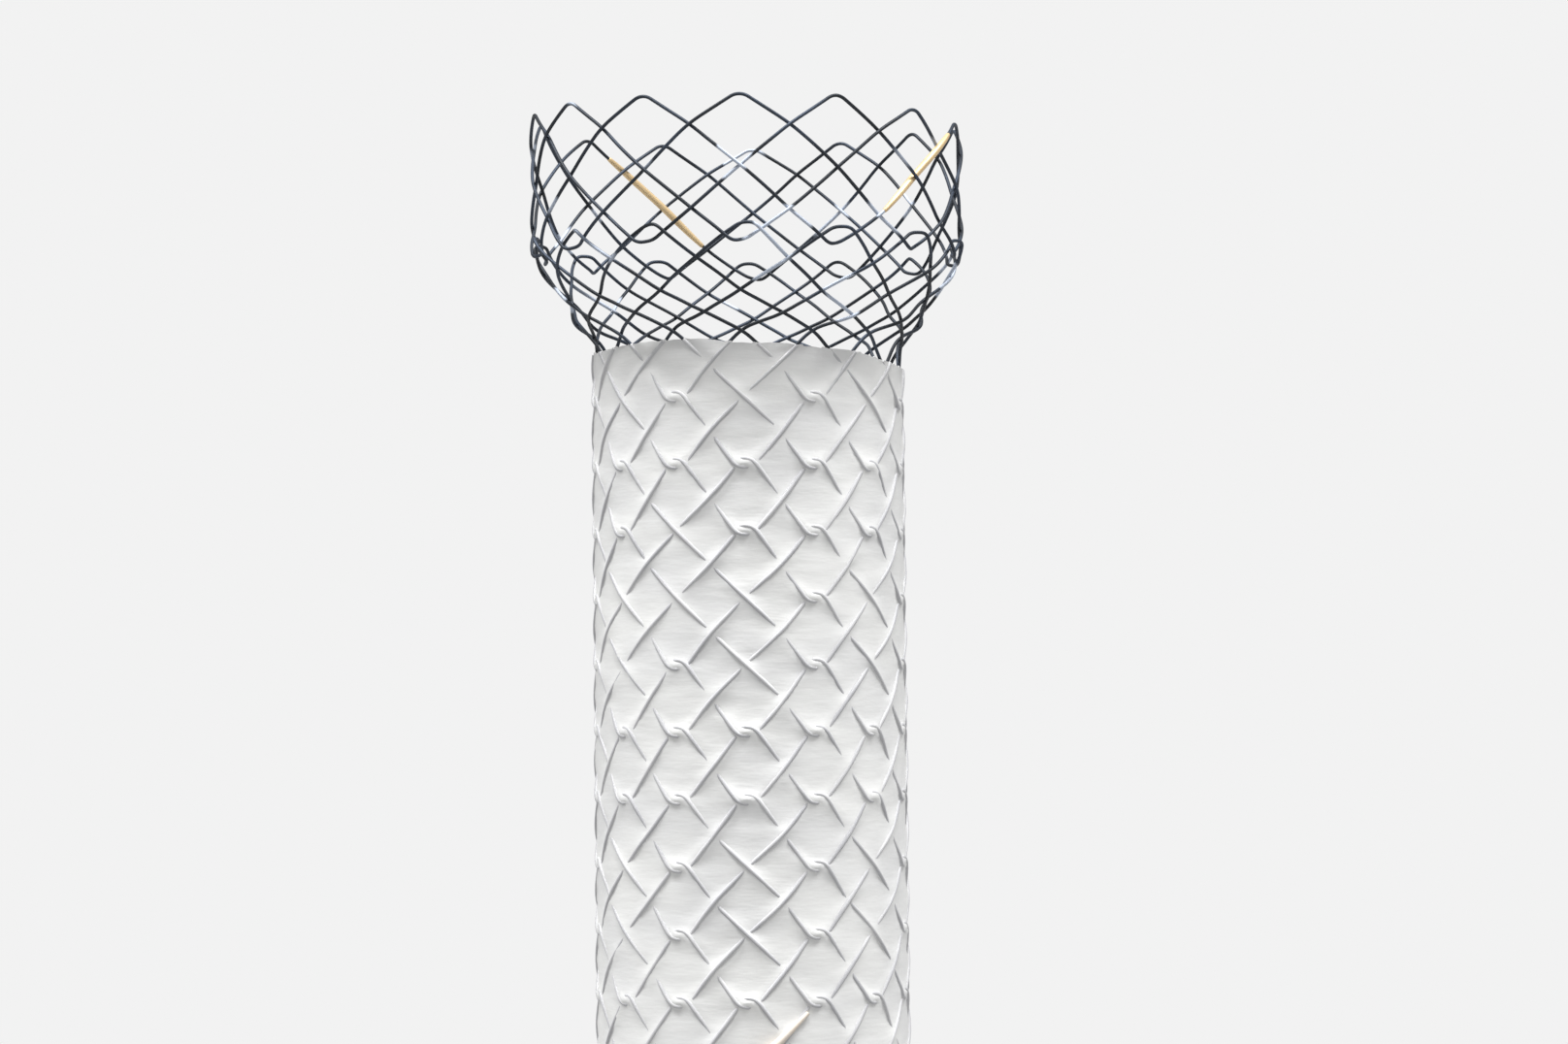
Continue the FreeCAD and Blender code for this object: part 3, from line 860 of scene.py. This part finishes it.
@dataclass
class MiddleMarkers:
    """The pair of sleeves at mid-length, under a swelling of the film."""

    weave: Weave
    columns: tuple = (1, 8)
    row: float = 28.42
    length: float = 9.0
    taper: float = 4.2
    taper_power: float = 1.5
    line_radius: float = 9.94
    sleeve_radii: tuple = (0.25, 0.12)
    swelling_radii: tuple = (0.31, 0.14)
    swelling_past: float = 0.3

    def _line(self, column: int, full: float, thin: float, past: float = 0.0) -> Line:
        """The line of a sleeve that falls to the left, tapered at both ends, or of what covers it."""
        weave = self.weave
        slant = math.hypot(0.5 * weave.body_column, weave.row_pitch)
        length = self.length + 2 * past
        share = np.linspace(0, 1, SLEEVE_POINTS)
        row = self.row + (share * length - past) / slant
        turn = column - (row - math.floor(self.row)) / 2
        depth = weave.neck_rows[3] + (row - weave.first_body_row) * weave.row_pitch
        lift = np.full(len(row), self.line_radius - weave.body_mid)
        points = weave.place(np.stack([turn, depth, lift], axis=1))
        from_end = np.minimum(share, 1 - share) * length
        swell = np.sin(np.clip(from_end / self.taper, 0, 1) * math.pi / 2) ** self.taper_power
        return Line(points, (thin + (full - thin) * swell) * MM)

    def build(self, gold: Material, skin: Material) -> None:
        """Makes the sleeves and the film swollen over them.

        Args:
            gold: Finish of the sleeves.
            skin: Finish of the film where gold shines through it.
        """
        for number, column in enumerate(self.columns, start=1):
            line = self._line(column, *self.sleeve_radii)
            sleeve = rods(f"middle_marker_{number}_sleeve", [line], SLEEVE_SIDES)
            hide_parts(f"middle_marker_{number}")
            dressed(sleeve, gold)
            line = self._line(column, *self.swelling_radii, self.swelling_past)
            swelling = rods(f"film_over_middle_marker_{number}", [line], SLEEVE_SIDES)
            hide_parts("covered_body")
            dressed(swelling, skin)


# Finishes


class Value:
    """A number or colour that runs through a material, with Python's own signs for its maths."""

    def __init__(self, graph: "Graph", socket: NodeSocket) -> None:
        """Wraps an output socket of a material's nodes."""
        self.graph = graph
        self.socket = socket

    def maths(self, operation: str, other: object) -> "Value":
        """A Math node on this value and another."""
        return self.graph.node("ShaderNodeMath", {"operation": operation}, {0: self, 1: other})

    def __add__(self, other: object) -> "Value":
        """Sum."""
        return self.maths("ADD", other)

    def __mul__(self, other: object) -> "Value":
        """Product."""
        return self.maths("MULTIPLY", other)

    def between(self, low: float, high: float) -> "Value":
        """From 0 to 1, smoothly, as this value goes from low to high."""
        settings = {"interpolation_type": "SMOOTHSTEP"}
        return self.graph.node("ShaderNodeMapRange", settings, {"Value": self, 1: low, 2: high})


class Graph:
    """The nodes of one material or of the world, with its main shader."""

    def __init__(self, owner: ID) -> None:
        """Starts with what a new material or world has."""
        owner.use_nodes = True
        self.owner = owner
        self.tree = owner.node_tree
        self.output = next(node for node in self.tree.nodes if node.type.startswith("OUTPUT"))
        self.shader = next(node for node in self.tree.nodes if node != self.output)

    def node(self, kind: str, settings: Optional[dict] = None, inputs: Optional[dict] = None,
             output: object = 0) -> Value:
        """Adds a node.

        Args:
            kind: Type of the node.
            settings: Its own properties.
            inputs: Values or links of its sockets, by name or number.
            output: Name or number of the output that is wanted.

        Returns:
            That output.
        """
        made = self.tree.nodes.new(kind)
        for key, value in (settings or {}).items():
            setattr(made, key, value)
        for key, value in (inputs or {}).items():
            self.set(made.inputs[key], value)
        return Value(self, made.outputs[output])

    def set(self, socket: NodeSocket, value: object) -> None:
        """Links or sets one input."""
        if isinstance(value, Value):
            self.tree.links.new(value.socket, socket)
        elif isinstance(value, tuple) and len(value) == 3 and socket.type == "RGBA":
            socket.default_value = (*value, 1)
        else:
            socket.default_value = value

    def finish(self, **inputs: object) -> ID:
        """Sets the main shader's inputs, with _ for a space in their names."""
        for key, value in inputs.items():
            self.set(self.shader.inputs[key.replace("_", " ")], value)
        return self.owner

    def noise(self, scale: float, detail: float = 2.0, rough: float = 0.5, upright: float = 1.0) -> Value:
        """Smooth noise from 0 to 1, finer along the height where upright is above 1."""
        where = self.node("ShaderNodeTexCoord", output="Object")
        where = self.node("ShaderNodeMapping", None, {"Vector": where, "Scale": (1, 1, upright)})
        return self.node("ShaderNodeTexNoise", None, {
            "Vector": where, "Scale": scale, "Detail": detail, "Roughness": rough})

    def ray(self, kind: str) -> Value:
        """1 for rays of a kind, and 0 for others."""
        return self.node("ShaderNodeLightPath", output=f"Is {kind} Ray")

    def seen(self) -> Value:
        """1 for rays that the camera, a mirror or glass sends, and 0 for light."""
        return (self.ray("Camera") + self.ray("Glossy") + self.ray("Transmission")).between(0.0, 1.0)

    def mix(self, factor: object, first: object, second: object) -> Value:
        """A colour between two."""
        inputs = {"Factor": factor, 6: first, 7: second}
        return self.node("ShaderNodeMix", {"data_type": "RGBA"}, inputs, 2)

    def bump(self, height: Value, strength: float, distance: float) -> Value:
        """A normal that follows a height."""
        return self.node("ShaderNodeBump", None, {
            "Height": height, "Strength": strength, "Distance": distance}, "Normal")


@dataclass(frozen=True)
class FilmFinish:
    """White polymer film: satin, faintly creased round the body."""

    white: tuple = (0.83, 0.832, 0.82)
    shade: tuple = (0.785, 0.787, 0.785)
    roughness: float = 0.36
    roughened: float = 0.12

    def material(self) -> Material:
        """The finish as a material."""
        graph = Graph(bpy.data.materials.new("white_film"))
        creases = graph.noise(330.0, detail=3.0, rough=0.55, upright=4.5)
        grain = graph.noise(2600.0)
        cloud = graph.noise(160.0, upright=1.6).between(0.35, 0.7)
        height = creases * 0.9 + grain * 0.1
        return graph.finish(
            Base_Color=graph.mix(cloud, self.white, self.shade),
            Roughness=grain * self.roughened + self.roughness,
            Specular_IOR_Level=0.45,
            Normal=graph.bump(height, strength=0.35, distance=0.00012),
        )


@dataclass(frozen=True)
class TintedFilmFinish:
    """The white film where a wire or a sleeve shows through it, more here and less there. Over the wires the
    grey is partly the wire showing through and partly painted shade that darkens the raised lines.
    """

    name: str
    strong: tuple
    faint: tuple
    fineness: float
    blend: tuple
    roughness: float
    specular: float

    def material(self) -> Material:
        """The finish as a material."""
        graph = Graph(bpy.data.materials.new(self.name))
        patch = graph.noise(self.fineness).between(*self.blend)
        return graph.finish(
            Base_Color=graph.mix(patch, self.strong, self.faint),
            Roughness=self.roughness,
            Specular_IOR_Level=self.specular,
        )


# Film over the wires: a grey that is partly the wire showing through and partly painted shade along the
# raised lines.
OVER_WIRE_AND_SHADE = TintedFilmFinish("film_over_wire_and_shade", (0.51, 0.512, 0.53), (0.61, 0.611, 0.622), 300.0,
                             (0.35, 0.65), roughness=0.45, specular=0.35)
OVER_GOLD = TintedFilmFinish("film_over_gold", (0.80, 0.62, 0.46), (0.78, 0.71, 0.63), 420.0,
                             (0.3, 0.7), roughness=0.42, specular=0.45)


@dataclass(frozen=True)
class WireFinish:
    """Drawn nickel-titanium wire under a dark oxide, with pale bluish patches here and there that are
    painted highlights standing in for glints on the wire.
    """

    oxide: tuple = (0.022, 0.026, 0.032)
    blue: tuple = (0.043, 0.056, 0.08)
    glint_colour: tuple = (0.44, 0.49, 0.58)

    def material(self) -> Material:
        """The finish as a material."""
        graph = Graph(bpy.data.materials.new("oxidised_wire"))
        # Painted highlights: pale bluish, less metallic patches, placed by noise, that stand in for glints
        # of light on the wire.
        painted_glints = graph.noise(260.0, detail=0.0).between(0.66, 0.71)
        tone = graph.mix(graph.noise(210.0).between(0.4, 0.65), self.oxide, self.blue)
        return graph.finish(
            Base_Color=graph.mix(painted_glints, tone, self.glint_colour),
            Metallic=painted_glints * -0.2 + 0.45,
            Roughness=0.5,
            Specular_IOR_Level=0.35,
        )


@dataclass(frozen=True)
class GoldFinish:
    """Gold radiopaque sleeve, satin, with a deeper tone here and there."""

    gold: tuple = (0.80, 0.60, 0.34)
    deep: tuple = (0.62, 0.45, 0.25)

    def material(self) -> Material:
        """The finish as a material."""
        graph = Graph(bpy.data.materials.new("gold_sleeve"))
        blotch = graph.noise(420.0, detail=0.0).between(0.45, 0.8)
        return graph.finish(
            Base_Color=graph.mix(blotch, self.gold, self.deep),
            Metallic=0.6,
            Roughness=blotch * 0.06 + 0.46,
        )


# Floor, light and camera


@dataclass
class Studio:
    """The plain pale room in which the stent stands."""

    backdrop: float = 0.888
    floor_size: float = 8.0
    floor_seen: tuple = (0.38, 0.38, 0.38)
    floor_by_itself: tuple = (0.27, 0.27, 0.27)
    floor_fade: tuple = (0.12, 0.45)
    world_light: float = 0.34
    lamps: tuple = (("key_left", -70, 7.9), ("key_front", 0, 4.2), ("key_right", 70, 7.5))
    lamp_elevation: float = 64.0
    lamp_distance: float = 0.9
    lamp_size: float = 0.2
    lit_height: float = 0.07
    distance: float = 0.2848
    eye_height: float = 0.0841
    azimuth: float = 1.7
    axis_left_of_centre: float = 34.5
    tilt: float = 2.0
    roll: float = 0.5
    lens: float = 102.5
    sensor_width: float = 36.0
    image_width: int = 1616

    def floor(self) -> None:
        """A pale floor that keeps the stent's shadow and fades into the backdrop."""
        bpy.ops.object.select_all(action="DESELECT")
        bpy.ops.mesh.primitive_circle_add(vertices=96, radius=self.floor_size, fill_type="NGON")
        floor = bpy.context.view_layer.objects.active
        floor.name = "floor"
        graph = Graph(bpy.data.materials.new("pale_floor"))
        colour = graph.mix(graph.seen(), self.floor_by_itself, self.floor_seen)
        graph.finish(Base_Color=colour, Roughness=0.95, Specular_IOR_Level=0.0)
        plain = graph.node("ShaderNodeEmission", None, {
            "Color": (self.backdrop,) * 3, "Strength": 1.0}, "Emission")
        where = graph.node("ShaderNodeTexCoord", output="Object")
        away = graph.node("ShaderNodeVectorMath", {"operation": "LENGTH"}, {0: where}, "Value")
        factor = away.between(*self.floor_fade) * graph.seen()
        shader = graph.node("ShaderNodeMixShader", None, {
            0: factor, 1: Value(graph, graph.shader.outputs[0]), 2: plain})
        graph.set(graph.output.inputs["Surface"], shader)
        floor.data.materials.append(graph.owner)

    def world(self) -> None:
        """Even light from all round, and the pale backdrop that the camera sees."""
        world = bpy.data.worlds.new("pale_room")
        bpy.context.scene.world = world
        graph = Graph(world)
        either = graph.ray("Camera").maths("MAXIMUM", graph.ray("Transmission"))
        strength = graph.node("ShaderNodeMix", {"data_type": "FLOAT"},
                              {"Factor": either, 2: self.world_light, 3: self.backdrop})
        graph.finish(Color=(1, 1, 1), Strength=strength)

    def lamp(self, name: str, azimuth: float, power: float) -> None:
        """A soft square lamp that points at the stent."""
        light = bpy.data.lights.new(name, "AREA")
        light.shape = "SQUARE"
        light.size = self.lamp_size
        light.energy = power
        lamp = bpy.data.objects.new(name, light)
        bpy.context.scene.collection.objects.link(lamp)
        turn, high = math.radians(azimuth), math.radians(self.lamp_elevation)
        level = self.lamp_distance * math.cos(high)
        place = Vector((level * math.sin(turn), -level * math.cos(turn),
                        self.lit_height + self.lamp_distance * math.sin(high)))
        lamp.location = place
        aim = Vector((0, 0, self.lit_height)) - place
        lamp.rotation_euler = aim.to_track_quat("-Z", "Y").to_euler()

    def camera(self) -> None:
        """The camera at the photograph's viewing angle."""
        data = bpy.data.cameras.new("camera")
        data.lens = self.lens
        data.sensor_width = self.sensor_width
        data.clip_start = 0.01
        data.clip_end = 50.0
        camera = bpy.data.objects.new("camera", data)
        bpy.context.scene.collection.objects.link(camera)
        turn = Matrix.Rotation(math.radians(90 + self.tilt), 4, "X")
        roll = Matrix.Rotation(math.radians(self.roll), 4, "Y")
        aside = math.atan(self.axis_left_of_centre / (self.lens / self.sensor_width * self.image_width))
        pan = Matrix.Rotation(math.radians(self.azimuth) - aside, 4, "Z")
        round_it = math.radians(self.azimuth)
        place = Matrix.Translation((self.distance * math.sin(round_it),
                                    -self.distance * math.cos(round_it), self.eye_height))
        camera.matrix_world = place @ pan @ roll @ turn
        bpy.context.scene.camera = camera

    def build(self) -> None:
        """Makes the room, the lamps and the camera."""
        self.floor()
        self.world()
        for name, azimuth, power in self.lamps:
            self.lamp(name, azimuth, power)
        self.camera()
        bpy.context.scene.view_settings.view_transform = "Standard"


def main() -> None:
    """Builds the stent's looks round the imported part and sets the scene."""
    logging.basicConfig(level=logging.INFO, format="%(name)s %(message)s")
    weave = Weave()
    film = FilmFinish().material()
    wire = WireFinish().material()
    gold = GoldFinish().material()
    Studio().build()
    for lower in (False, True):
        Flare(weave, lower).build(wire, gold)
    Cover(weave).build(film, OVER_WIRE_AND_SHADE.material())
    MiddleMarkers(weave).build(gold, OVER_GOLD.material())


if __name__ == "__main__":
    main()
